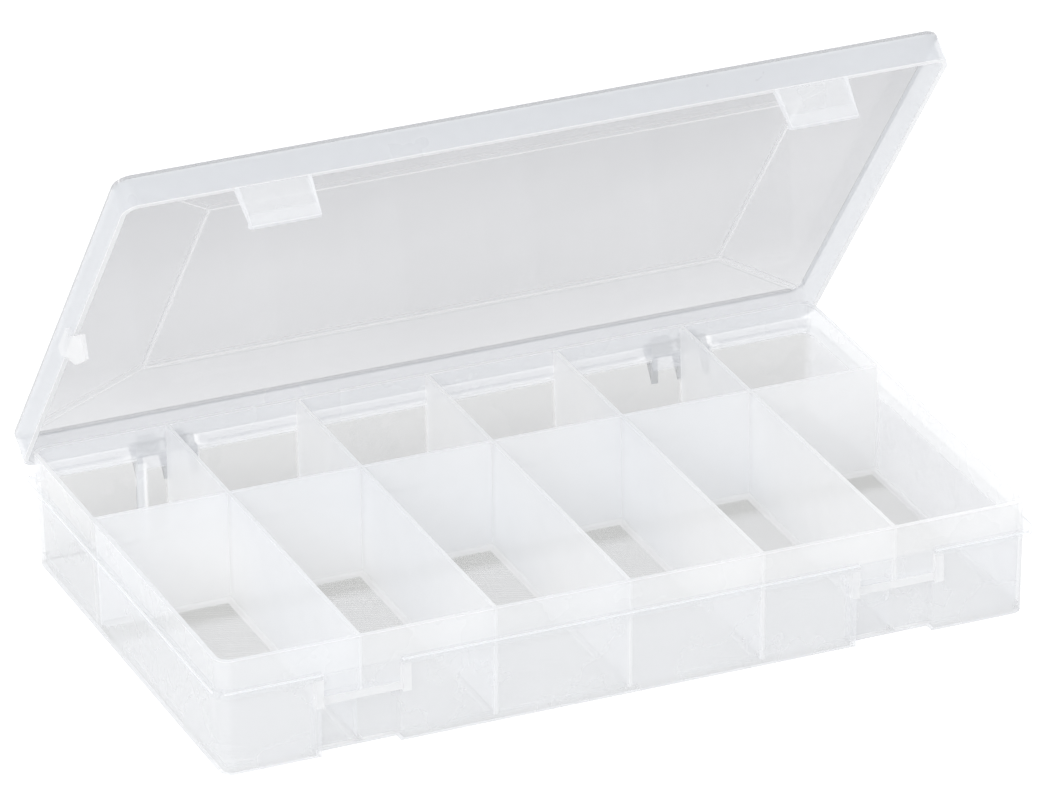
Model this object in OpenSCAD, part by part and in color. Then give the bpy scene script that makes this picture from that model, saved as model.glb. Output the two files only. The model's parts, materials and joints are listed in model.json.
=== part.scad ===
// Compartment box for beads and small parts, moulded in clear plastic.
// A shallow tray holds twelve fixed compartments: six columns, a long row in
// front and a short row behind. One lid covers them all. It swings on snap
// hinges at the back, and two flexing tabs latch it at the front.
// X runs along the length, Y from the latches to the hinges, Z up from the table.

/* [Tray] */
// Length of the tray at its rim
tray_l = 204.6; // [170:0.1:240]
// Depth of the tray at its rim
tray_w = 124.2; // [110:0.1:150]
// Height of the tray
tray_h = 29.4; // [27:0.1:40]
// Thickness of the tray's walls
wall_t = 1.1; // [0.8:0.1:1.5]
// Thickness of the floor
floor_t = 1.2; // [0.8:0.1:2]
// How far each wall leans in at the floor
wall_draft = 0.8; // [0.2:0.1:1.2]
// Radius of the outer corners of the tray and of the lid
corner_r = 4; // [3:0.1:6]

/* [Compartments] */
// Thickness of the dividers
divider_t = 0.9; // [0.7:0.1:1.4]
// Depth of the front compartments at the rim
front_row_w = 81; // [50:0.5:90]

/* [Shoulder] */
// Depth of the shoulder's top below the rim
shoulder_drop = 7.2; // [5:0.1:8]
// Height of the shoulder's face
shoulder_h = 1.5; // [1.2:0.1:2.4]

/* [Lid] */
// Thickness of the lid's top
lid_t = 1.2; // [0.9:0.1:1.6]
// Rounding of the lid's outer edge
lid_edge_r = 0.8; // [0.3:0.1:0.9]
// Thickness of the lid's skirt
skirt_t = 1.2; // [0.9:0.1:1.6]
// Gap between the lid's skirt and the tray's rim
lid_gap = 0.3; // [0.2:0.05:0.5]
// Gap under the closed lid, on the rim and on the shoulder
rest_gap = 0.2; // [0.1:0.05:0.4]
// Distance of the raised panel from the lid's edges
panel_inset = 28.8; // [20:0.1:35]
// Height of the raised panel
panel_rise = 1; // [0.4:0.1:2]
// Angle of the open lid from closed
lid_open = 51.7; // [20:0.1:110]

/* [Latches] */
// Width of a latch tab at its root
tab_w = 18.8; // [14:0.1:24]
// Narrowing of a latch tab on each side at its end
tab_taper = 0.8; // [0:0.1:1.5]
// Length of a latch tab below the lid's skirt
tab_l = 10.5; // [9:0.1:12]
// Thickness of a latch tab
tab_t = 1.2; // [0.9:0.1:1.3]
// How far the hook reaches in
hook_d = 1.1; // [0.8:0.1:1.5]
// Height of the hook
hook_h = 1.6; // [1.2:0.1:2.2]
// Height of the hook's tip, above its ramp
hook_tip_h = 0.5; // [0.2:0.1:1]
// Height of the ledge that the hook catches
catch_h = 1.8; // [1.2:0.1:2.4]
// Gap between a latch and what it catches
latch_gap = 0.2; // [0.1:0.05:0.3]
// Gap between a latch tab and the guides beside it
guide_gap = 0.4; // [0.2:0.05:0.8]
// Width of the upright guide on each side of a latch
guide_w = 2; // [1.2:0.1:3]
// Depth of the pocket below a latch, from the rim's face
pocket_d = 3.5; // [2.8:0.1:5]

/* [Side tab] */
// Place of the middle of the side tab's root, behind the tray's middle
side_tab_y = 2.1; // [-20:0.1:10]
// Width of the side tab's root
side_tab_w = 9; // [6:0.1:12]
// How far the side tab's nose stands in front of its root
side_tab_lean = 9; // [4:0.1:12]
// Depth of the side tab's nose below the skirt
side_tab_nose = 4.1; // [2:0.1:5]
// How far the side tab's toe stands in front of its root
side_tab_toe = 5.9; // [2:0.1:8]
// Depth of the side tab's toe below the skirt
side_tab_h = 9.3; // [7.5:0.1:11]
// Depth of the side tab's heel below the skirt
side_tab_heel = 6.6; // [5:0.1:7.4]
// Width of the bevel behind the side tab's root
side_tab_bevel_w = 2.4; // [1:0.1:4]
// Depth of the bevel behind the side tab's root
side_tab_bevel_h = 1.5; // [0.5:0.1:2.5]
// Thickness of the side tab
side_tab_t = 1; // [0.8:0.1:1.4]
// Height of the side tab's root on the skirt's face
side_tab_root_h = 2.4; // [1.5:0.1:4]
// Gap between the side tab and the shoulder's face
side_tab_gap = 0.2; // [0.1:0.05:0.4]

/* [Hinges] */
// Distance of the hinge axis behind the closed lid
hinge_back = 1.8; // [1.8:0.1:2.6]
// Radius of the hinge pins
pin_r = 1.2; // [1:0.05:1.2]
// Running gap between a pin and its clip
pin_gap = 0.08; // [0.04:0.01:0.1]
// Thickness of a clip round its pin
clip_t = 1.1; // [0.8:0.1:1.2]
// Width of a clip's mouth
clip_mouth = 1.9; // [1.5:0.1:2.1]
// Gap on each side of a clip
clip_gap = 0.3; // [0.2:0.05:0.5]
// Length of one pin between its lugs
pin_l = 5.1; // [4:0.1:7]
// Thickness of an outer lug
lug_t = 1.8; // [1.2:0.1:2.4]
// Thickness of the middle lug
mid_lug_t = 2; // [1.4:0.1:3]
// Material round a pin's end in its lug
lug_wall = 0.4; // [0.3:0.05:0.4]
// Length of the web under a lug
lug_web = 6; // [4:0.1:8]
// Gap in the shoulder on each side of the outer lugs
hinge_clear = 3.2; // [1:0.1:5]
// Depth of the upright rib below the left hinge
rib_d = 1.2; // [0.6:0.1:2]

/* [Hidden] */
columns = 6;
$fn = 48;
// How far a cutting shape runs past what it cuts
past = 1;
clear_plastic = [0.88, 0.90, 0.93, 0.6];
frosted_plastic = [0.95, 0.96, 0.97, 0.8];

// Compartment grid
pitch = (tray_l - 2 * wall_t) / columns;
function divider_x(i) = (i - columns / 2) * pitch;
cross_y = -tray_w / 2 + wall_t + front_row_w;

// Centres of the tray's rounded corners
corner_x = tray_l / 2 - corner_r;
corner_y = tray_w / 2 - corner_r;
shoulder_z = tray_h - shoulder_drop;

// Lid, as it lies when closed
lid_l = tray_l + 2 * (lid_gap + skirt_t);
lid_w = tray_w + 2 * (lid_gap + skirt_t);
lid_under_z = tray_h + rest_gap;
skirt_z = shoulder_z + rest_gap;

// Latches stand in line with the outermost dividers, and so do the hinges
latch_x = divider_x(columns - 1);
recess_w = tab_w + 2 * guide_gap;
tab_end_z = skirt_z - tab_l;
hook_top_z = tab_end_z + hook_h;
catch_z = hook_top_z + latch_gap;
pocket_y = -tray_w / 2 + pocket_d;
pocket_roof_z = catch_z + wall_t;
front_y = -lid_w / 2;

// Hinges
hinge_y = lid_w / 2 + hinge_back;
hinge_z = skirt_z;
lug_r = pin_r + lug_wall;
lug_reach = mid_lug_t / 2 + pin_l + lug_t;
pin_mid = mid_lug_t / 2 + pin_l / 2;
clip_w = pin_l - 2 * clip_gap;
hinge_gap_w = 2 * (lug_reach + hinge_clear);
web_z = hinge_z - lug_r - lug_web;

tray_nodes = [
  "tray_floor", "tray_wall", "shoulder_front", "shoulder_back",
  "shoulder_left", "shoulder_right", "latch_guides_left", "latch_guides_right",
  "catch_left", "catch_right", "hinge_lugs_left", "hinge_lugs_right",
  "hinge_pins_left", "hinge_pins_right", "hinge_rib"
];
lid_nodes = [
  "lid_top", "lid_skirt", "hinge_clips_left", "hinge_clips_right",
  "side_tab", "latch_tab_left", "latch_tab_right"
];

// Half the tray's outer length and depth at a height
function lean(z) = wall_draft * (1 - z / tray_h);
function half_l(z) = tray_l / 2 - lean(z);
function half_w(z) = tray_w / 2 - lean(z);

module rounded_rect(l, w, r) {
  square([l - 2 * r, w], center = true);
  square([l, w - 2 * r], center = true);
  for (x = [-1, 1], y = [-1, 1])
    translate([x * (l / 2 - r), y * (w / 2 - r)]) circle(r);
}

// A profile drawn in Y and Z, given a width along X
module along_x(width) {
  rotate([90, 0, 90]) translate([0, 0, -width / 2]) linear_extrude(width) children();
}

// An outline drawn in X and Z, given a depth from y0 to y1
module along_y(y0, y1) {
  translate([0, y1, 0]) rotate([90, 0, 0]) linear_extrude(y1 - y0) children();
}

// Block with the walls' lean, inset from their outer face. Its corners are cones
module leaning_block(inset, z0, z1) {
  foot_r = corner_r - inset - lean(z0);
  top_r = corner_r - inset - lean(z1);
  hull()
    for (x = [-1, 1], y = [-1, 1])
      translate([x * corner_x, y * corner_y, z0])
        cylinder(h = z1 - z0, r1 = foot_r, r2 = top_r);
}

module tray_outside() leaning_block(0, 0, tray_h);
module tray_inside() leaning_block(wall_t, -past, tray_h + past);

// Section of the tray's outside, drawn in Y and Z
module outside_section() {
  foot = half_w(0);
  top = half_w(tray_h);
  polygon([[-foot, 0], [foot, 0], [top, tray_h], [-top, tray_h]]);
}

module both_latches() for (side = [-1, 1]) translate([side * latch_x, 0, 0]) children();

// Pocket in the front wall, where the hook hangs
module pocket_hollow(extra) {
  translate([-recess_w / 2 - extra, -tray_w / 2 - past, -past])
    cube([recess_w + 2 * extra, pocket_d + extra + past, catch_z + extra + past]);
}

module tray_floor() {
  color(clear_plastic)
    difference() {
      intersection() {
        tray_inside();
        translate([-tray_l, -tray_w, 0]) cube([2 * tray_l, 2 * tray_w, floor_t]);
      }
      both_latches() pocket_hollow(wall_t);
    }
}

module tray_wall() {
  color(clear_plastic)
    difference() {
      union() {
        difference() {
          tray_outside();
          tray_inside();
        }
        intersection() {
          tray_outside();
          both_latches() pocket_hollow(wall_t);
        }
      }
      both_latches() pocket_hollow(0);
    }
}

// Profile of a front-to-back divider, with a notch over a latch pocket
module divider_profile(notched) {
  front_top = -half_w(tray_h) + wall_t;
  front_foot = -half_w(floor_t) + wall_t;
  pocket_back = pocket_y + wall_t;
  front = notched
    ? [
        [-half_w(pocket_roof_z) + wall_t, pocket_roof_z],
        [pocket_back, pocket_roof_z],
        [pocket_back, floor_t]
      ]
    : [[front_foot, floor_t]];
  polygon(concat([[front_top, tray_h]], front, [[-front_foot, floor_t], [-front_top, tray_h]]));
}

module long_divider(i) {
  color(frosted_plastic)
    translate([divider_x(i), 0, 0])
      along_x(divider_t) divider_profile(i == 1 || i == columns - 1);
}

// One bay of the divider that splits the front row from the back row
module cross_divider(i) {
  left = divider_x(i - 1) + divider_t / 2;
  right = divider_x(i) - divider_t / 2;
  wall_top = half_l(tray_h) - wall_t;
  wall_foot = half_l(floor_t) - wall_t;
  first = i == 1;
  last = i == columns;
  color(frosted_plastic)
    along_y(cross_y, cross_y + divider_t)
      polygon([
        [first ? -wall_foot : left, floor_t], [last ? wall_foot : right, floor_t],
        [last ? wall_top : right, tray_h], [first ? -wall_top : left, tray_h]
      ]);
}

// One straight run of the shoulder, under the closed lid's skirt. It faces the way
// that turn says, and has its half of the rounded corner at each end
module shoulder_run(turn, along, across, gap_w) {
  out = tray_w;
  color(clear_plastic)
    difference() {
      translate([0, 0, shoulder_z - shoulder_h])
        linear_extrude(shoulder_h)
          intersection() {
            rounded_rect(lid_l, lid_w, corner_r);
            rotate(turn)
              polygon([
                [-along, across], [along, across],
                [along + out, across + out], [-along - out, across + out]
              ]);
          }
      tray_outside();
      if (gap_w > 0)
        for (x = [-latch_x, latch_x])
          translate([x - gap_w / 2, turn == 0 ? 0 : -tray_w, 0]) cube([gap_w, tray_w, tray_h]);
    }
}

// Upright guides that carry the shoulder down on both sides of a latch
module latch_guides(side) {
  top = shoulder_z - shoulder_h;
  color(clear_plastic)
    for (end = [-1, 1])
      translate([side * latch_x + end * (recess_w + guide_w) / 2, 0, 0])
        along_x(guide_w)
          difference() {
            translate([front_y, catch_z]) square([pocket_y - front_y, top - catch_z]);
            outside_section();
          }
}

// Ledge between the guides, over the pocket, that the hook catches
module catch(side) {
  face = front_y + tab_t + latch_gap;
  color(clear_plastic)
    translate([side * latch_x, 0, 0])
      along_x(recess_w)
        difference() {
          translate([face, catch_z]) square([pocket_y - face, catch_h]);
          outside_section();
        }
}

// Side view of a lug: a tongue with a round end on a tapering web
module lug_profile() {
  difference() {
    union() {
      translate([hinge_y, hinge_z]) circle(lug_r);
      polygon([
        [0, web_z], [half_w(web_z), web_z], [hinge_y, hinge_z - lug_r],
        [hinge_y, shoulder_z], [0, shoulder_z]
      ]);
    }
    outside_section();
  }
}

module hinge_lugs(side) {
  color(clear_plastic)
    translate([side * latch_x, 0, 0]) {
      along_x(mid_lug_t) lug_profile();
      for (end = [-1, 1])
        translate([end * (lug_reach - lug_t / 2), 0, 0]) along_x(lug_t) lug_profile();
    }
}

module hinge_pins(side) {
  color(clear_plastic)
    for (end = [-1, 1])
      translate([side * latch_x + end * pin_mid - pin_l / 2, hinge_y, hinge_z])
        rotate([0, 90, 0]) cylinder(h = pin_l, r = pin_r);
}

// Upright rib that carries the left hinge's outer lug down to the table
module hinge_rib() {
  color(clear_plastic)
    translate([-latch_x - lug_reach + lug_t / 2, 0, 0])
      along_x(lug_t)
        polygon([
          [half_w(0), 0], [half_w(0) + rib_d, 0],
          [half_w(web_z) + rib_d, web_z - rib_d], [half_w(web_z), web_z]
        ]);
}

// Turns the closed lid to the angle at which it stands open
module opened() {
  translate([0, hinge_y, hinge_z])
    rotate([-lid_open, 0, 0])
      translate([0, -hinge_y, -hinge_z]) children();
}

// Shallow hipped sheet that rises from the lid's edge to its panel, with its
// upper outer edge rounded off by edge_r
module hipped(l, w, r, z, thick, edge_r) {
  hull() {
    for (turn = [0, 30, 60, 90]) {
      inset = edge_r * (1 - cos(turn));
      translate([0, 0, z])
        linear_extrude(thick - edge_r * (1 - sin(turn)))
          rounded_rect(l - 2 * inset, w - 2 * inset, r - inset, $fn = 32);
    }
    translate([0, 0, z + panel_rise])
      linear_extrude(thick)
        square([lid_l - 2 * panel_inset, lid_w - 2 * panel_inset], center = true);
  }
}

module lid_top() {
  color(clear_plastic)
    opened()
      difference() {
        hipped(lid_l, lid_w, corner_r, lid_under_z, lid_t, lid_edge_r);
        translate([0, 0, -past])
          hipped(lid_l - 2 * skirt_t, lid_w - 2 * skirt_t, corner_r - skirt_t, lid_under_z, past, 0);
      }
}

module lid_skirt() {
  color(clear_plastic)
    opened()
      translate([0, 0, skirt_z])
        linear_extrude(lid_under_z - skirt_z)
          difference() {
            rounded_rect(lid_l, lid_w, corner_r);
            rounded_rect(lid_l - 2 * skirt_t, lid_w - 2 * skirt_t, corner_r - skirt_t);
          }
}

// Side view of a clip: an open ring on an arm that leaves the skirt
module clip_profile() {
  ring_r = pin_r + pin_gap + clip_t;
  difference() {
    union() {
      translate([hinge_y, hinge_z]) circle(ring_r);
      translate([lid_w / 2, hinge_z]) square([hinge_y - lid_w / 2, ring_r]);
    }
    translate([hinge_y, hinge_z]) circle(pin_r + pin_gap);
    translate([hinge_y - clip_mouth / 2, hinge_z - 2 * ring_r])
      square([clip_mouth, 2 * ring_r]);
    translate([lid_w / 2 - 2 * ring_r, hinge_z - 2 * ring_r])
      square([2 * ring_r, 4 * ring_r]);
  }
}

module hinge_clips(side) {
  color(clear_plastic)
    opened()
      for (end = [-1, 1])
        translate([side * latch_x + end * pin_mid, 0, 0]) along_x(clip_w) clip_profile();
}

// Small tab on the left skirt's face, leaning to the front. It hangs outside the shoulder
module side_tab() {
  root_back = side_tab_y + side_tab_w / 2;
  root_front = side_tab_y - side_tab_w / 2;
  root_top = skirt_z + side_tab_root_h;
  side_tab_run = side_tab_heel - side_tab_bevel_h;
  thick = side_tab_gap + side_tab_t;
  color(frosted_plastic)
    opened()
      difference() {
        translate([-(lid_l + thick) / 2, 0, 0])
          along_x(thick)
            polygon([
              [root_back, root_top],
              [root_front, root_top],
              [root_front, skirt_z],
              [root_front - side_tab_lean, skirt_z - side_tab_nose],
              [root_front - side_tab_toe, skirt_z - side_tab_h],
              [root_back - side_tab_bevel_w - side_tab_run, skirt_z - side_tab_heel],
              [root_back - side_tab_bevel_w, skirt_z - side_tab_bevel_h],
              [root_back, skirt_z]
            ]);
        translate([-lid_l / 2 - side_tab_gap, -tray_w, 0])
          cube([side_tab_gap + past, 2 * tray_w, skirt_z]);
      }
}

// Section of a latch tab: a flat tongue with a ramped hook at its end
module tab_profile() {
  outer = -lid_w / 2;
  inner = outer + tab_t;
  polygon([
    [outer, skirt_z], [outer, tab_end_z], [inner, tab_end_z],
    [inner + hook_d, hook_top_z - hook_tip_h], [inner + hook_d, hook_top_z],
    [inner, hook_top_z], [inner, skirt_z]
  ]);
}

module latch_tab(side) {
  root = tab_w / 2;
  end = root - tab_taper;
  color(frosted_plastic)
    opened()
      translate([side * latch_x, 0, 0])
        intersection() {
          along_x(tab_w) tab_profile();
          along_y(-tray_w, 0)
            polygon([[-root, skirt_z], [-end, tab_end_z], [end, tab_end_z], [root, skirt_z]]);
        }
}

tray_floor();
tray_wall();
shoulder_run(180, corner_x, corner_y, recess_w);  // shoulder_front
shoulder_run(0, corner_x, corner_y, hinge_gap_w);  // shoulder_back
shoulder_run(90, corner_y, corner_x, 0);  // shoulder_left
shoulder_run(-90, corner_y, corner_x, 0);  // shoulder_right
latch_guides(-1);  // latch_guides_left
latch_guides(1);  // latch_guides_right
catch(-1);  // catch_left
catch(1);  // catch_right
hinge_lugs(-1);  // hinge_lugs_left
hinge_lugs(1);  // hinge_lugs_right
hinge_pins(-1);  // hinge_pins_left
hinge_pins(1);  // hinge_pins_right
hinge_rib();
for (i = [1 : columns - 1])
  long_divider(i);
for (i = [1 : columns])
  cross_divider(i);
lid_top();
lid_skirt();
hinge_clips(-1);  // hinge_clips_left
hinge_clips(1);  // hinge_clips_right
side_tab();
latch_tab(-1);  // latch_tab_left
latch_tab(1);  // latch_tab_right
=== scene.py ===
"""Looks of the clear compartment box: its plastics and their detail, a floor, light and camera.

Lengths are metres in the part's frame: X along the box, Y from the latches to the hinges, Z up from
the table. The box stands open, and its lid leans forward over the tray.
"""

import json
import math

import bpy
import numpy as np
from mathutils import Matrix, Vector


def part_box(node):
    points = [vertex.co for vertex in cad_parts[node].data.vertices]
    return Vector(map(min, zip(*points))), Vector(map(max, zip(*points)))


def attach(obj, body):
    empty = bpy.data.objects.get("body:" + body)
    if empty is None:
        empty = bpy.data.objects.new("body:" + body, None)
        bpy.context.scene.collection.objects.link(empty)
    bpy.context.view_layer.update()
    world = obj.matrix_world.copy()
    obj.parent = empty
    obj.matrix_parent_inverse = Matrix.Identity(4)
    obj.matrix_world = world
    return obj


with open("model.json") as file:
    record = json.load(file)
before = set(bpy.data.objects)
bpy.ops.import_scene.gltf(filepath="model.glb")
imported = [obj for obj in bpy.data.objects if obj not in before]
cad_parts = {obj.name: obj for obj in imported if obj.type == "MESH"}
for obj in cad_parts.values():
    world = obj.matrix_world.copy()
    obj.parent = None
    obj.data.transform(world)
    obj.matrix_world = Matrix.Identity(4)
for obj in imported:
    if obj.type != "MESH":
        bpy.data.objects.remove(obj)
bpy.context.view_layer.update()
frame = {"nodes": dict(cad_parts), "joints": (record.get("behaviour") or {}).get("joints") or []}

# --- Sizes read from the frame -------------------------------------------------------------------

JOINTS = {joint["name"]: joint for joint in frame["joints"]}
HINGE = Vector(JOINTS["lid_hinge"]["pos_m"])
LID_OPEN = math.radians(JOINTS["lid_hinge"]["range_deg"][1])

TRAY_LOW, TRAY_HIGH = (Vector(corner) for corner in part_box("tray_wall"))
FLOOR_LOW, FLOOR_HIGH = (Vector(corner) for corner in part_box("tray_floor"))
DIVIDER_LOW, DIVIDER_HIGH = (Vector(corner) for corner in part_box("long_divider_3"))
CROSS_LOW, CROSS_HIGH = (Vector(corner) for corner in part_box("cross_divider_2"))
CATCH_LOW, CATCH_HIGH = (Vector(corner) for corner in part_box("catch_right"))
TAB_LOW, TAB_HIGH = (Vector(corner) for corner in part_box("latch_tab_right"))
RIB_LOW, RIB_HIGH = (Vector(corner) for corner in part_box("hinge_rib"))
LUGS_HIGH = Vector(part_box("hinge_lugs_right")[1])
SHOULDER_LOW, SHOULDER_TOP = (corner[2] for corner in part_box("shoulder_front"))
LID_HALF_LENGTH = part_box("lid_skirt")[1][0]

COLUMNS = 6
DIVIDER_HALF = (DIVIDER_HIGH.x - DIVIDER_LOW.x) / 2
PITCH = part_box("long_divider_4")[0][0] - DIVIDER_LOW.x
WALL = TRAY_HIGH.y - DIVIDER_HIGH.y
LATCH_X = (CATCH_LOW.x + CATCH_HIGH.x) / 2
POCKET_HALF = (CATCH_HIGH.x - CATCH_LOW.x) / 2 + WALL
POCKET_BACK = CATCH_HIGH.y + WALL
TAB_HALF = (TAB_HIGH.x - TAB_LOW.x) / 2
TAB_LENGTH = 0.0105
HINGE_BEHIND_SKIRT = 0.0018
LID_HALF_WIDTH = HINGE.y - HINGE_BEHIND_SKIRT
PANEL_INSET_X, PANEL_INSET_Y = 0.0288, 0.0250
FOOT_RADIUS = 0.0012
FOOT_ABOVE_FLOOR = 0.00002

# --- Shader maths --------------------------------------------------------------------------------


class Value:
    """A number that changes over a surface: a socket with the sums that masks need."""

    def __init__(self, graph, socket):
        self.graph = graph
        self.socket = socket

    def _math(self, operation, first, second=0.0):
        return self.graph.node("ShaderNodeMath", {"operation": operation}, [first, second])

    def __add__(self, other):
        return self._math("ADD", self, other)

    def __radd__(self, other):
        return self._math("ADD", other, self)

    def __sub__(self, other):
        return self._math("SUBTRACT", self, other)

    def __rsub__(self, other):
        return self._math("SUBTRACT", other, self)

    def __mul__(self, other):
        return self._math("MULTIPLY", self, other)

    def __rmul__(self, other):
        return self._math("MULTIPLY", other, self)

    def __truediv__(self, other):
        return self._math("DIVIDE", self, other)

    def least(self, other):
        return self._math("MINIMUM", self, other)

    def most(self, other):
        return self._math("MAXIMUM", self, other)

    def size(self):
        return self._math("ABSOLUTE", self)

    def clipped(self):
        return self.least(1.0).most(0.0)

    def ramp(self, start, end):
        """0 below start and 1 above end, straight between them. start may be above end."""
        return ((self - start) / (end - start)).clipped()

    def to_nearest(self, step):
        """Distance to the nearest multiple of step."""
        return self._math("PINGPONG", self, step / 2)

    def line(self, place, half_width):
        """1 on a line at place, fading to 0 at half_width beside it."""
        return (1.0 - (self - place).size() / half_width).most(0.0)


class Graph:
    """One material's nodes."""

    def __init__(self, name):
        self.material = bpy.data.materials.new(name)
        self.material.use_nodes = True
        self.tree = self.material.node_tree
        self.tree.nodes.clear()

    def node(self, kind, settings=None, inputs=(), output=0):
        """Adds a node. Settings come first, then the values or links of its sockets."""
        node = self.tree.nodes.new(kind)
        for name, value in (settings or {}).items():
            setattr(node, name, value)
        pairs = inputs.items() if isinstance(inputs, dict) else enumerate(inputs)
        for key, value in pairs:
            if isinstance(value, Value):
                self.tree.links.new(value.socket, node.inputs[key])
            else:
                node.inputs[key].default_value = value
        return Value(self, node.outputs[output])

    def place(self, closed_lid=False):
        """X, Y and Z of the surface. With closed_lid, as it lies when the lid is closed."""
        point = self.node("ShaderNodeTexCoord", output="Object")
        if closed_lid:
            turn = Matrix.Rotation(LID_OPEN, 3, "X")
            shift = HINGE - turn @ HINGE
            point = self.node("ShaderNodeMapping", {}, [point, shift, (LID_OPEN, 0.0, 0.0)])
        split = self.node("ShaderNodeSeparateXYZ", {}, [point])
        outputs = split.socket.node.outputs
        return point, [Value(self, outputs[axis]) for axis in range(3)]

    def noise(self, point, scale, detail=2.0, roughness=0.5):
        return self.node("ShaderNodeTexNoise", {}, {
            "Vector": point, "Scale": scale, "Detail": detail, "Roughness": roughness})

    def blend(self, amount, low, high):
        """A colour between low and high."""
        return self.node("ShaderNodeMix", {"data_type": "RGBA"}, {
            "Factor": amount, 6: low, 7: high}, output=2)

    def bump(self, height, strength, depth):
        return self.node("ShaderNodeBump", {}, {
            "Strength": strength, "Distance": depth, "Height": height})

    def plastic(self, **sockets):
        """A Principled shader to the output, with sockets named in words."""
        shader = self.node("ShaderNodeBsdfPrincipled", {}, {
            name.replace("_", " "): value for name, value in sockets.items()})
        self.node_output(shader)
        return self.material

    def node_output(self, shader):
        output = self.tree.nodes.new("ShaderNodeOutputMaterial")
        self.tree.links.new(shader.socket, output.inputs["Surface"])


# --- Plastics ------------------------------------------------------------------------------------

POLYPROPYLENE_IOR = 1.49
GRAIN_SCALE, GRAIN_DEPTH = 2600.0, 0.0001  # matt grain, a fraction of a millimetre across

COOL_WHITE = (0.92, 0.93, 0.945, 1.0)
WARM_WHITE = (0.96, 0.96, 0.96, 1.0)
PANEL_GREY = (0.24, 0.24, 0.27, 1.0)
PANEL_DARK = (0.17, 0.17, 0.20, 1.0)
# Painted shade for the lid's creases and outline.
CREASE_AND_OUTLINE_SHADE_GREY = (0.30, 0.31, 0.33, 1.0)
FLOOR_GREY = (0.63, 0.63, 0.62, 1.0)
# Painted shade on the floor along the cross dividers.
FLOOR_SHADE_BAND = (0.40, 0.40, 0.37, 1.0)
CLEAR_GREY = (0.91, 0.92, 0.94, 1.0)
# Painted shade: the right end of the walls is greyer, as if less lit.
RIGHT_END_SHADE_GREY = (0.62, 0.63, 0.66, 1.0)
# Painted shade: the back wall is greyer, as if in the lid's shadow.
BACK_SHADE_GREY = (0.34, 0.34, 0.33, 1.0)
BACK_BAND = (0.93, 0.94, 0.96, 1.0)
# Painted shade, a lighter grey: the hinge side of the lid skirt, and the back wall just above the
# shoulder and at the hinge webs.
HINGE_SIDE_SHADE_GREY = (0.68, 0.69, 0.72, 1.0)
SKIRT_GREY = (0.81, 0.83, 0.86, 1.0)


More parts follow.
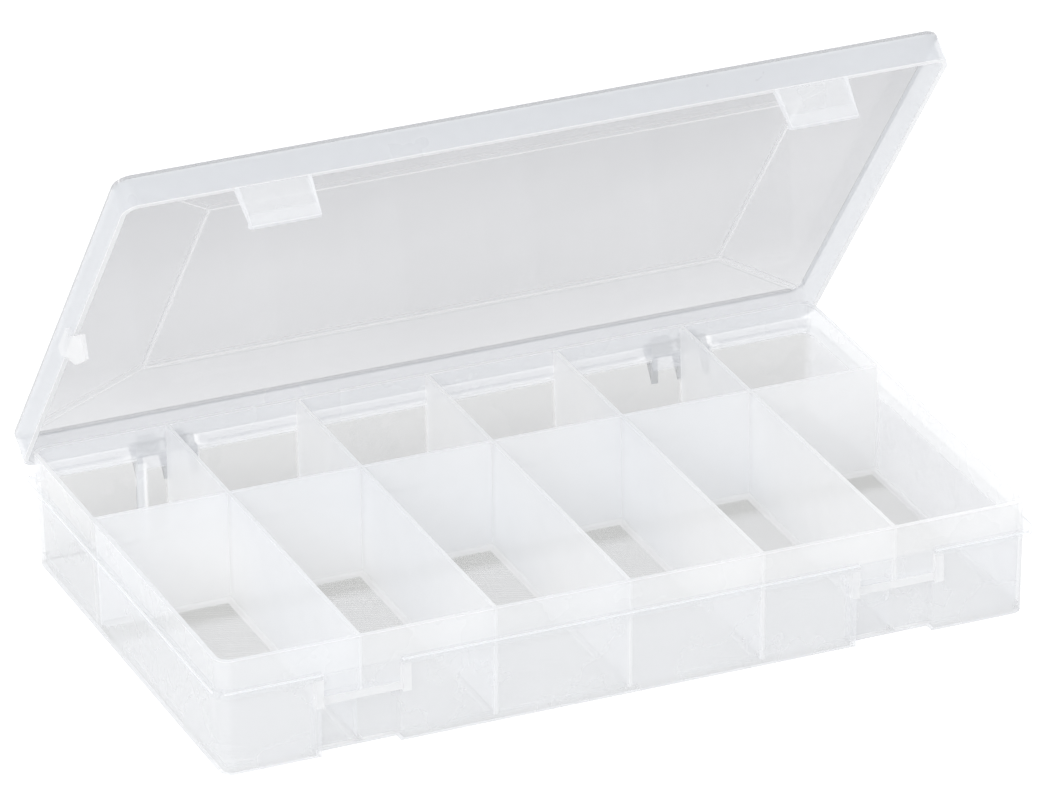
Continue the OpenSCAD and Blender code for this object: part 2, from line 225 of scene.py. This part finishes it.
def wall_plastic():
    """Satin, milky walls, with a painted highlight along the rim. They are whiter where a divider,
    the shoulder or a hinge's lugs and rib join them from the other side. The right end and the back
    are greyer with painted shade, and a faint painted glow stands for light scattered through the
    plastic."""
    graph = Graph("wall_plastic")
    point, (x, y, z) = graph.place()
    # rim is a painted highlight along the wall's top edge, whiter and more opaque.
    rim = z.ramp(TRAY_HIGH.z - 0.0003, TRAY_HIGH.z - 0.0001)
    band = z.ramp(SHOULDER_TOP - 0.0012, SHOULDER_TOP - 0.0002)
    # back marks the back wall, which is greyer with painted shade, as if in the lid's shadow.
    back = y.ramp(TRAY_HIGH.y - 0.0030, TRAY_HIGH.y - 0.0022)
    front = y.ramp(TRAY_LOW.y + 0.0024, TRAY_LOW.y + 0.0018)
    side = x.size().ramp(TRAY_HIGH.x - 0.0024, TRAY_HIGH.x - 0.0018)
    # far marks the right end of the walls, which is greyer with painted shade.
    far = x.ramp(TRAY_HIGH.x - 0.0024, TRAY_HIGH.x - 0.0018)
    divider_seam = x.to_nearest(PITCH).ramp(0.00055, 0.00035) * front.most(back) * (1.0 - side)
    side_seam = y.ramp(CROSS_LOW.y - 0.0001, CROSS_LOW.y + 0.0001) \
        * y.ramp(CROSS_HIGH.y + 0.0001, CROSS_HIGH.y - 0.0001) * side
    seam = divider_seam.most(side_seam) * z.ramp(FLOOR_HIGH.z, FLOOR_HIGH.z + 0.0004)
    cloud = graph.noise(point, 60.0, 3.0)
    patch = graph.noise(point, 14.0, 1.0).ramp(0.40, 0.62)
    grain = graph.noise(point, GRAIN_SCALE, 2.0)
    reach = LUGS_HIGH.x - LATCH_X
    hinge = (x.size() - LATCH_X).size().ramp(reach + 0.0003, reach)
    shelf = z.line(SHOULDER_LOW + 0.0010, 0.0007) * (1.0 - hinge)
    above = z.ramp(SHOULDER_TOP + 0.0002, SHOULDER_TOP + 0.0008)
    lugs = hinge * above * z.ramp(SHOULDER_TOP + 0.0042, SHOULDER_TOP + 0.0036)
    web = hinge * (1.0 - above) * z.ramp(SHOULDER_LOW - 0.0024, SHOULDER_LOW - 0.0018)
    rib = x.line((RIB_LOW.x + RIB_HIGH.x) / 2, 0.0016).ramp(0.0, 0.3) \
        * z.ramp(SHOULDER_LOW, SHOULDER_LOW - 0.0004)
    behind = shelf.most(lugs).most(rib) * back
    white = (band * (1.0 - back)).most(rim).most(seam).most(behind)
    low = z.ramp(SHOULDER_TOP + 0.0034, SHOULDER_TOP + 0.0026)
    root = (above * (1.0 - hinge) * low).most(web) * back
    opacity = (0.27 + 0.03 * cloud + 0.05 * band + 0.08 * root).most(0.70 * rim) \
        .most(0.42 * seam).most(0.33 * behind).most(0.75 * shelf * back)
    # The back wall's colour is painted shade. It is whiter on the band where the shoulder joins,
    # and a lighter painted shade just above the shoulder and at the hinge webs.
    back_shade_colour = graph.blend(root, graph.blend(band, BACK_SHADE_GREY, BACK_BAND), HINGE_SIDE_SHADE_GREY)
    lower = graph.blend(back, graph.blend(far, CLEAR_GREY, RIGHT_END_SHADE_GREY), back_shade_colour)
    milky = graph.blend(patch, COOL_WHITE, WARM_WHITE)
    # Painted glow for light scattered through the plastic. It is dimmer at the back and the right
    # end, as painted shade, but not on the back's band.
    painted_glow = graph.blend(back.most(far), COOL_WHITE, graph.blend(band, BACK_SHADE_GREY, COOL_WHITE))
    return graph.plastic(
        Base_Color=graph.blend(white, lower, milky), Roughness=0.22 + 0.10 * cloud,
        Emission_Color=graph.blend(white, painted_glow, COOL_WHITE), Emission_Strength=0.09,
        IOR=POLYPROPYLENE_IOR, Specular_IOR_Level=1.0, Alpha=opacity,
        Normal=graph.bump(grain, 0.12, GRAIN_DEPTH))


def divider_plastic():
    """Finely matted dividers, whiter than the walls, with a painted highlight along the top edge
    and a faint painted glow for light scattered through them.
    """
    graph = Graph("divider_plastic")
    point, (_, _, z) = graph.place()
    # edge is a painted highlight along the divider's top edge, more opaque there.
    edge = z.ramp(DIVIDER_HIGH.z - 0.0006, DIVIDER_HIGH.z - 0.0001)
    cloud = graph.noise(point, 45.0, 3.0)
    patch = graph.noise(point, 14.0, 1.0).ramp(0.40, 0.62)
    grain = graph.noise(point, GRAIN_SCALE, 2.0)
    opacity = (0.48 + 0.08 * cloud).most(0.70 * edge)
    return graph.plastic(
        Base_Color=graph.blend(patch, COOL_WHITE, WARM_WHITE), Roughness=0.38 + 0.10 * cloud,
        # Painted glow for light scattered through the dividers.
        Emission_Color=COOL_WHITE, Emission_Strength=0.12,
        IOR=POLYPROPYLENE_IOR, Alpha=opacity, Normal=graph.bump(grain, 0.15, GRAIN_DEPTH))


def floor_plastic():
    """Polished floor, clearer and greyer than the walls, with painted shade along the cross
    dividers and a faint painted glow for light scattered through it.
    """
    graph = Graph("floor_plastic")
    point, (_, y, _) = graph.place()
    cloud = graph.noise(point, 30.0, 3.0)
    # band is painted shade on the floor along the cross dividers, darker and more opaque.
    band = y.ramp(CROSS_LOW.y - 0.0085, CROSS_LOW.y - 0.0070) * y.ramp(CROSS_HIGH.y, CROSS_LOW.y)
    return graph.plastic(
        Base_Color=graph.blend(band, FLOOR_GREY, FLOOR_SHADE_BAND), Roughness=0.18 + 0.08 * cloud,
        # Painted glow for light scattered through the floor.
        Emission_Color=WARM_WHITE, Emission_Strength=0.12, IOR=POLYPROPYLENE_IOR,
        Alpha=0.24 + 0.06 * cloud + 0.07 * band, Normal=graph.bump(cloud, 0.10, 0.0010))


def lid_panel_plastic():
    """Polished lid top, greyer towards its free edge. Creases run round the raised panel and out
    to the corners with painted highlights on them, and painted shade beside them along the hinge
    and the latches. A thin line of painted shade runs round the outline."""
    graph = Graph("lid_panel_plastic")
    point, (x, y, _) = graph.place(closed_lid=True)
    half_l = LID_HALF_LENGTH - PANEL_INSET_X
    half_w = LID_HALF_WIDTH - PANEL_INSET_Y
    across, along = x.size(), y.size()
    crease = 0.0006
    inside_x = across.ramp(half_l + crease, half_l)
    inside_y = along.ramp(half_w + crease, half_w)
    slope = (LID_HALF_LENGTH - half_l) / (LID_HALF_WIDTH - half_w)
    hip_line = (across - half_l) - slope * (along - half_w)
    hip = hip_line.line(0.0, crease) * across.ramp(half_l, half_l + crease)
    # Painted highlights along the creases, whiter and more opaque.
    crease_highlights = (across.line(half_l, crease) * inside_y).most(along.line(half_w, crease) * inside_x) \
        .most(hip)
    hinge_hip = hip_line.line(-0.0016, crease) * across.ramp(half_l, half_l + crease)
    # Painted shade beside the creases along the hinge and the latches.
    shade = (along.line(half_w + 0.0013, 0.0006) * inside_x).most(
        hinge_hip * y.ramp(0.0, 0.001)) * 0.9
    # rim is a thin line of painted shade round the lid's outline.
    rim = across.ramp(LID_HALF_LENGTH - 0.0007, LID_HALF_LENGTH - 0.0003).most(
        along.ramp(LID_HALF_WIDTH - 0.0007, LID_HALF_WIDTH - 0.0003))
    painted_shade = shade.most(rim)
    free_edge = y.ramp(0.0, -LID_HALF_WIDTH)
    hinge_edge = y.ramp(0.035, LID_HALF_WIDTH)
    cloud = graph.noise(point, 22.0, 3.0)
    sheet = graph.blend(free_edge, PANEL_GREY, PANEL_DARK)
    opacity = 0.28 + 0.05 * cloud + 0.05 * free_edge - 0.06 * hinge_edge
    return graph.plastic(
        Base_Color=graph.blend(crease_highlights, graph.blend(painted_shade, sheet, CREASE_AND_OUTLINE_SHADE_GREY), WARM_WHITE),
        Roughness=0.07 + 0.06 * cloud, IOR=POLYPROPYLENE_IOR, Specular_IOR_Level=0.8,
        Alpha=opacity.most(0.62 * crease_highlights).most(0.50 * painted_shade), Normal=graph.bump(cloud, 0.06, 0.0012))


def skirt_plastic():
    """Milky skirt, with a painted highlight along its rim. Its hinge side is greyer with painted
    shade, and has no painted highlight. A faint painted glow stands for light scattered through it.
    """
    graph = Graph("skirt_plastic")
    point, (_, y, z) = graph.place(closed_lid=True)
    # The hinge side is greyer with painted shade.
    hinge_side_shade = y.ramp(LID_HALF_WIDTH - 0.0030, LID_HALF_WIDTH - 0.0020)
    # rim is a painted highlight along the skirt's rim, whiter and more opaque.
    rim = z.ramp(HINGE.z + 0.0005, HINGE.z + 0.0001) * (1.0 - hinge_side_shade)
    cloud = graph.noise(point, 60.0, 3.0)
    grain = graph.noise(point, GRAIN_SCALE, 2.0)
    return graph.plastic(
        Base_Color=graph.blend(rim, graph.blend(hinge_side_shade, SKIRT_GREY, HINGE_SIDE_SHADE_GREY), WARM_WHITE),
        # Faint painted glow for light scattered through the skirt.
        Roughness=0.24 + 0.10 * cloud, Emission_Color=SKIRT_GREY, Emission_Strength=0.03,
        IOR=POLYPROPYLENE_IOR, Specular_IOR_Level=1.0, Alpha=(0.38 + 0.08 * cloud).most(0.80 * rim),
        Normal=graph.bump(grain, 0.12, GRAIN_DEPTH))


def tab_plastic():
    """See-through latch tabs: painted highlights at their sides and end, bright in the third that
    carries the hook, and a faint painted glow for light scattered through them.
    """
    graph = Graph("tab_plastic")
    point, (x, _, z) = graph.place(closed_lid=True)
    from_middle = (x.size() - LATCH_X).size()
    tip = HINGE.z - TAB_LENGTH
    # side and end are painted highlights along the tab's edges, more opaque there.
    side = from_middle.ramp(TAB_HALF - 0.0016, TAB_HALF - 0.0008)
    end = z.ramp(tip + 0.0006, tip + 0.0002)
    hook = z.ramp(tip + 0.0036, tip + 0.0030)
    cloud = graph.noise(point, 90.0, 3.0)
    grain = graph.noise(point, GRAIN_SCALE, 2.0)
    return graph.plastic(
        Base_Color=COOL_WHITE, Roughness=0.26 + 0.10 * cloud, IOR=POLYPROPYLENE_IOR,
        # Faint painted glow for light scattered through the tabs.
        Emission_Color=COOL_WHITE, Emission_Strength=0.06,
        Alpha=(0.24 + 0.05 * cloud + 0.14 * hook).most(0.60 * side).most(0.60 * end),
        Normal=graph.bump(grain, 0.12, GRAIN_DEPTH))


def side_tab_plastic():
    """Milky side tab, with a faint painted glow for light scattered through it."""
    graph = Graph("side_tab_plastic")
    point, _ = graph.place(closed_lid=True)
    cloud = graph.noise(point, 90.0, 3.0)
    return graph.plastic(
        Base_Color=WARM_WHITE, Roughness=0.26 + 0.10 * cloud, IOR=POLYPROPYLENE_IOR,
        # Faint painted glow for light scattered through the side tab.
        Emission_Color=COOL_WHITE, Emission_Strength=0.06,
        Alpha=0.36 + 0.06 * cloud, Normal=graph.bump(cloud, 0.10, 0.0004))


def shoulder_plastic():
    """Clear shoulder with a painted highlight along its upper outer edge, except at the back, where
    it is greyer with painted shade. A faint painted glow stands for light scattered through it.
    """
    graph = Graph("shoulder_plastic")
    point, (x, y, z) = graph.place()
    outer = x.size().ramp(LID_HALF_LENGTH - 0.0006, LID_HALF_LENGTH - 0.0003).most(
        y.size().ramp(LID_HALF_WIDTH - 0.0006, LID_HALF_WIDTH - 0.0003))
    # back marks the back of the shoulder, which is greyer with painted shade.
    back = y.ramp(TRAY_HIGH.y - 0.004, TRAY_HIGH.y)
    # edge is a painted highlight along the upper outer edge, more opaque there.
    edge = outer * z.ramp(SHOULDER_TOP - 0.0006, SHOULDER_TOP - 0.0003) * (1.0 - back)
    cloud = graph.noise(point, 60.0, 3.0)
    grain = graph.noise(point, GRAIN_SCALE, 2.0)
    return graph.plastic(
        Base_Color=graph.blend(back, COOL_WHITE, SKIRT_GREY), Roughness=0.24 + 0.10 * cloud,
        # Faint painted glow for light scattered through the shoulder.
        Emission_Color=COOL_WHITE, Emission_Strength=0.05, IOR=POLYPROPYLENE_IOR,
        Alpha=(0.20 + 0.04 * cloud).most(0.75 * edge), Normal=graph.bump(grain, 0.12, GRAIN_DEPTH))


def moulded_plastic(name, opacity, painted_glow, colour=WARM_WHITE):
    """Thick small features, where the plastic is whitest, with a painted glow for light scattered
    through them.
    """
    graph = Graph(name)
    point, _ = graph.place()
    cloud = graph.noise(point, 90.0, 3.0)
    grain = graph.noise(point, GRAIN_SCALE, 2.0)
    return graph.plastic(
        Base_Color=colour, Roughness=0.28 + 0.10 * cloud, IOR=POLYPROPYLENE_IOR,
        # Painted glow for light scattered through the plastic.
        Emission_Color=colour, Emission_Strength=painted_glow,
        Alpha=opacity + 0.08 * cloud, Normal=graph.bump(grain, 0.12, GRAIN_DEPTH))


def dress():
    """Gives each CAD node its plastic."""
    divider = divider_plastic()
    tab = tab_plastic()
    starts = {
        "tray_wall": wall_plastic(), "tray_floor": floor_plastic(), "long_divider": divider,
        "cross_divider": divider, "lid_top": lid_panel_plastic(), "lid_skirt": skirt_plastic(),
        "latch_tab": tab, "side_tab": side_tab_plastic(), "shoulder": shoulder_plastic(),
        # The last number of each moulded plastic is the strength of its painted glow.
        "latch_guides": moulded_plastic("guide_plastic", 0.30, 0.08),
        "catch": moulded_plastic("catch_plastic", 0.34, 0.08),
        "hinge": moulded_plastic("hinge_plastic", 0.44, 0.05, SKIRT_GREY)}
    for name, obj in frame["nodes"].items():
        chosen = next(m for start, m in starts.items() if name.startswith(start))
        for slot in obj.material_slots:
            slot.material = chosen


# --- Rounded feet of the compartments ------------------------------------------------------------


def foot_round(name, outline, material):
    """Concave rounding between a compartment's walls and its floor.

    At an angle a from 0 to 90 degrees the surface is radius * (1 - sin a) in from the wall and
    radius * (1 - cos a) above the floor. This arc is carried round the outline, which runs
    anticlockwise. Where two walls meet, it goes along (n1 + n2) / (1 + n1 . n2), for their inward
    normals n1 and n2, so that both arcs meet on the mitre.
    """
    corners = np.array(outline)
    walls = np.roll(corners, -1, axis=0) - corners
    walls /= np.linalg.norm(walls, axis=1, keepdims=True)
    inward = np.stack([-walls[:, 1], walls[:, 0]], axis=1)
    before = np.roll(inward, 1, axis=0)
    mitre = (inward + before) / (1.0 + np.sum(inward * before, axis=1, keepdims=True))
    angle = np.linspace(0.0, math.pi / 2, 9)
    reach = FOOT_RADIUS * (1.0 - np.sin(angle))
    rise = FOOT_RADIUS * (1.0 - np.cos(angle))
    plan = corners[:, None, :] + mitre[:, None, :] * reach[None, :, None]
    height = np.broadcast_to(FLOOR_HIGH.z + FOOT_ABOVE_FLOOR + rise, plan.shape[:2])
    points = np.concatenate([plan, height[:, :, None]], axis=2)
    rows, columns = points.shape[:2]
    here = np.arange(rows)[:, None] * columns + np.arange(columns - 1)[None, :]
    ahead = (here + columns) % (rows * columns)
    faces = np.stack([here, here + 1, ahead + 1, ahead], axis=2).reshape(-1, 4)
    mesh = bpy.data.meshes.new(name)
    mesh.from_pydata(points.reshape(-1, 3).tolist(), [], faces.tolist())
    mesh.update()
    if sum(face.normal.z * face.area for face in mesh.polygons) < 0:
        mesh.flip_normals()
    mesh.shade_smooth()
    mesh.materials.append(material)
    piece = bpy.data.objects.new(name, mesh)
    bpy.context.collection.objects.link(piece)
    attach(piece, "tray")


def front_outline(column, left, right):
    """Front compartment's outline, anticlockwise. It steps round the latch pocket beside it."""
    front, back = FLOOR_LOW.y, CROSS_LOW.y
    latch = -LATCH_X if column <= 2 else LATCH_X
    if column in (1, COLUMNS - 1):
        step = latch - POCKET_HALF
        return [(left, front), (step, front), (step, POCKET_BACK), (right, POCKET_BACK),
                (right, back), (left, back)]
    if column in (2, COLUMNS):
        step = latch + POCKET_HALF
        return [(step, front), (right, front), (right, back), (left, back),
                (left, POCKET_BACK), (step, POCKET_BACK)]
    return [(left, front), (right, front), (right, back), (left, back)]


def add_foot_rounds():
    # 0.10 is the strength of the feet's painted glow.
    material = moulded_plastic("foot_plastic", 0.42, 0.10)
    for column in range(1, COLUMNS + 1):
        left = (column - 1 - COLUMNS / 2) * PITCH + DIVIDER_HALF
        right = (column - COLUMNS / 2) * PITCH - DIVIDER_HALF
        left = FLOOR_LOW.x if column == 1 else left
        right = FLOOR_HIGH.x if column == COLUMNS else right
        foot_round(f"foot_round_front_{column}", front_outline(column, left, right), material)
        back = [(left, CROSS_HIGH.y), (right, CROSS_HIGH.y), (right, FLOOR_HIGH.y),
                (left, FLOOR_HIGH.y)]
        foot_round(f"foot_round_back_{column}", back, material)


# --- Floor, light and camera ---------------------------------------------------------------------

PHOTO_WIDTH, PHOTO_HEIGHT = 1050, 794
CAMERA_PLACE = (-0.7339, -1.7553, 0.9491)
CAMERA_AZIMUTH, CAMERA_ELEVATION, CAMERA_ROLL = 22.699, 25.468, -0.819
FOCAL_PIXELS = 8929.7
SENSOR = 36.0
AXIS_X, AXIS_Y = 526.31, 422.84


def add_floor():
    """A plain white floor. The camera sees it white, and the box's shadow stays on it."""
    graph = Graph("floor_white")
    white = (0.93, 0.93, 0.93, 1.0)
    diffuse = graph.node("ShaderNodeBsdfDiffuse", {}, {"Color": white})
    path = graph.node("ShaderNodeLightPath").socket.node.outputs
    seen = Value(graph, path["Is Camera Ray"])
    for ray in ("Is Glossy Ray", "Is Transmission Ray"):
        seen = seen.most(Value(graph, path[ray]))
    lift = graph.node("ShaderNodeEmission", {}, {"Color": (1, 1, 1, 1), "Strength": 0.30 * seen})
    total = graph.node("ShaderNodeAddShader", {}, [diffuse, lift])
    graph.node_output(total)
    mesh = bpy.data.meshes.new("floor")
    far = 6.0
    mesh.from_pydata([(-far, -far, 0), (far, -far, 0), (far, far, 0), (-far, far, 0)], [],
                     [(0, 1, 2, 3)])
    floor = bpy.data.objects.new("floor", mesh)
    bpy.context.collection.objects.link(floor)
    mesh.materials.append(graph.material)


def add_world():
    world = bpy.data.worlds.new("studio")
    world.use_nodes = True
    bpy.context.scene.world = world
    background = world.node_tree.nodes["Background"]
    background.inputs["Color"].default_value = (0.97, 0.98, 1.0, 1.0)
    background.inputs["Strength"].default_value = 0.72


def add_lamp(name, place, aim, size, power):
    data = bpy.data.lights.new(name, "AREA")
    data.shape = "RECTANGLE"
    data.size, data.size_y = size
    data.energy = power
    lamp = bpy.data.objects.new(name, data)
    bpy.context.collection.objects.link(lamp)
    lamp.location = place
    lamp.rotation_euler = (Vector(aim) - Vector(place)).to_track_quat("-Z", "Y").to_euler()


def add_camera():
    data = bpy.data.cameras.new("camera")
    data.sensor_fit = "HORIZONTAL"
    data.sensor_width = SENSOR
    data.lens = FOCAL_PIXELS / PHOTO_WIDTH * SENSOR
    data.shift_x = (PHOTO_WIDTH / 2 - AXIS_X) / PHOTO_WIDTH
    data.shift_y = (AXIS_Y - PHOTO_HEIGHT / 2) / PHOTO_WIDTH
    data.clip_start = 0.05
    data.clip_end = 30.0
    camera = bpy.data.objects.new("camera", data)
    bpy.context.collection.objects.link(camera)
    turn = (Matrix.Rotation(math.radians(-CAMERA_AZIMUTH), 4, "Z")
            @ Matrix.Rotation(math.radians(90.0 - CAMERA_ELEVATION), 4, "X")
            @ Matrix.Rotation(math.radians(CAMERA_ROLL), 4, "Z"))
    camera.matrix_world = Matrix.Translation(CAMERA_PLACE) @ turn
    bpy.context.scene.camera = camera


dress()
add_foot_rounds()
add_floor()
add_world()
add_lamp("key", (-1.3, -1.1, 1.3), (0, 0, 0.03), (1.2, 1.2), 16.0)
add_lamp("back", (0.4, 0.9, 1.0), (0, 0, 0.05), (0.8, 0.6), 4.0)
add_camera()
bpy.context.scene.view_settings.view_transform = "Standard"
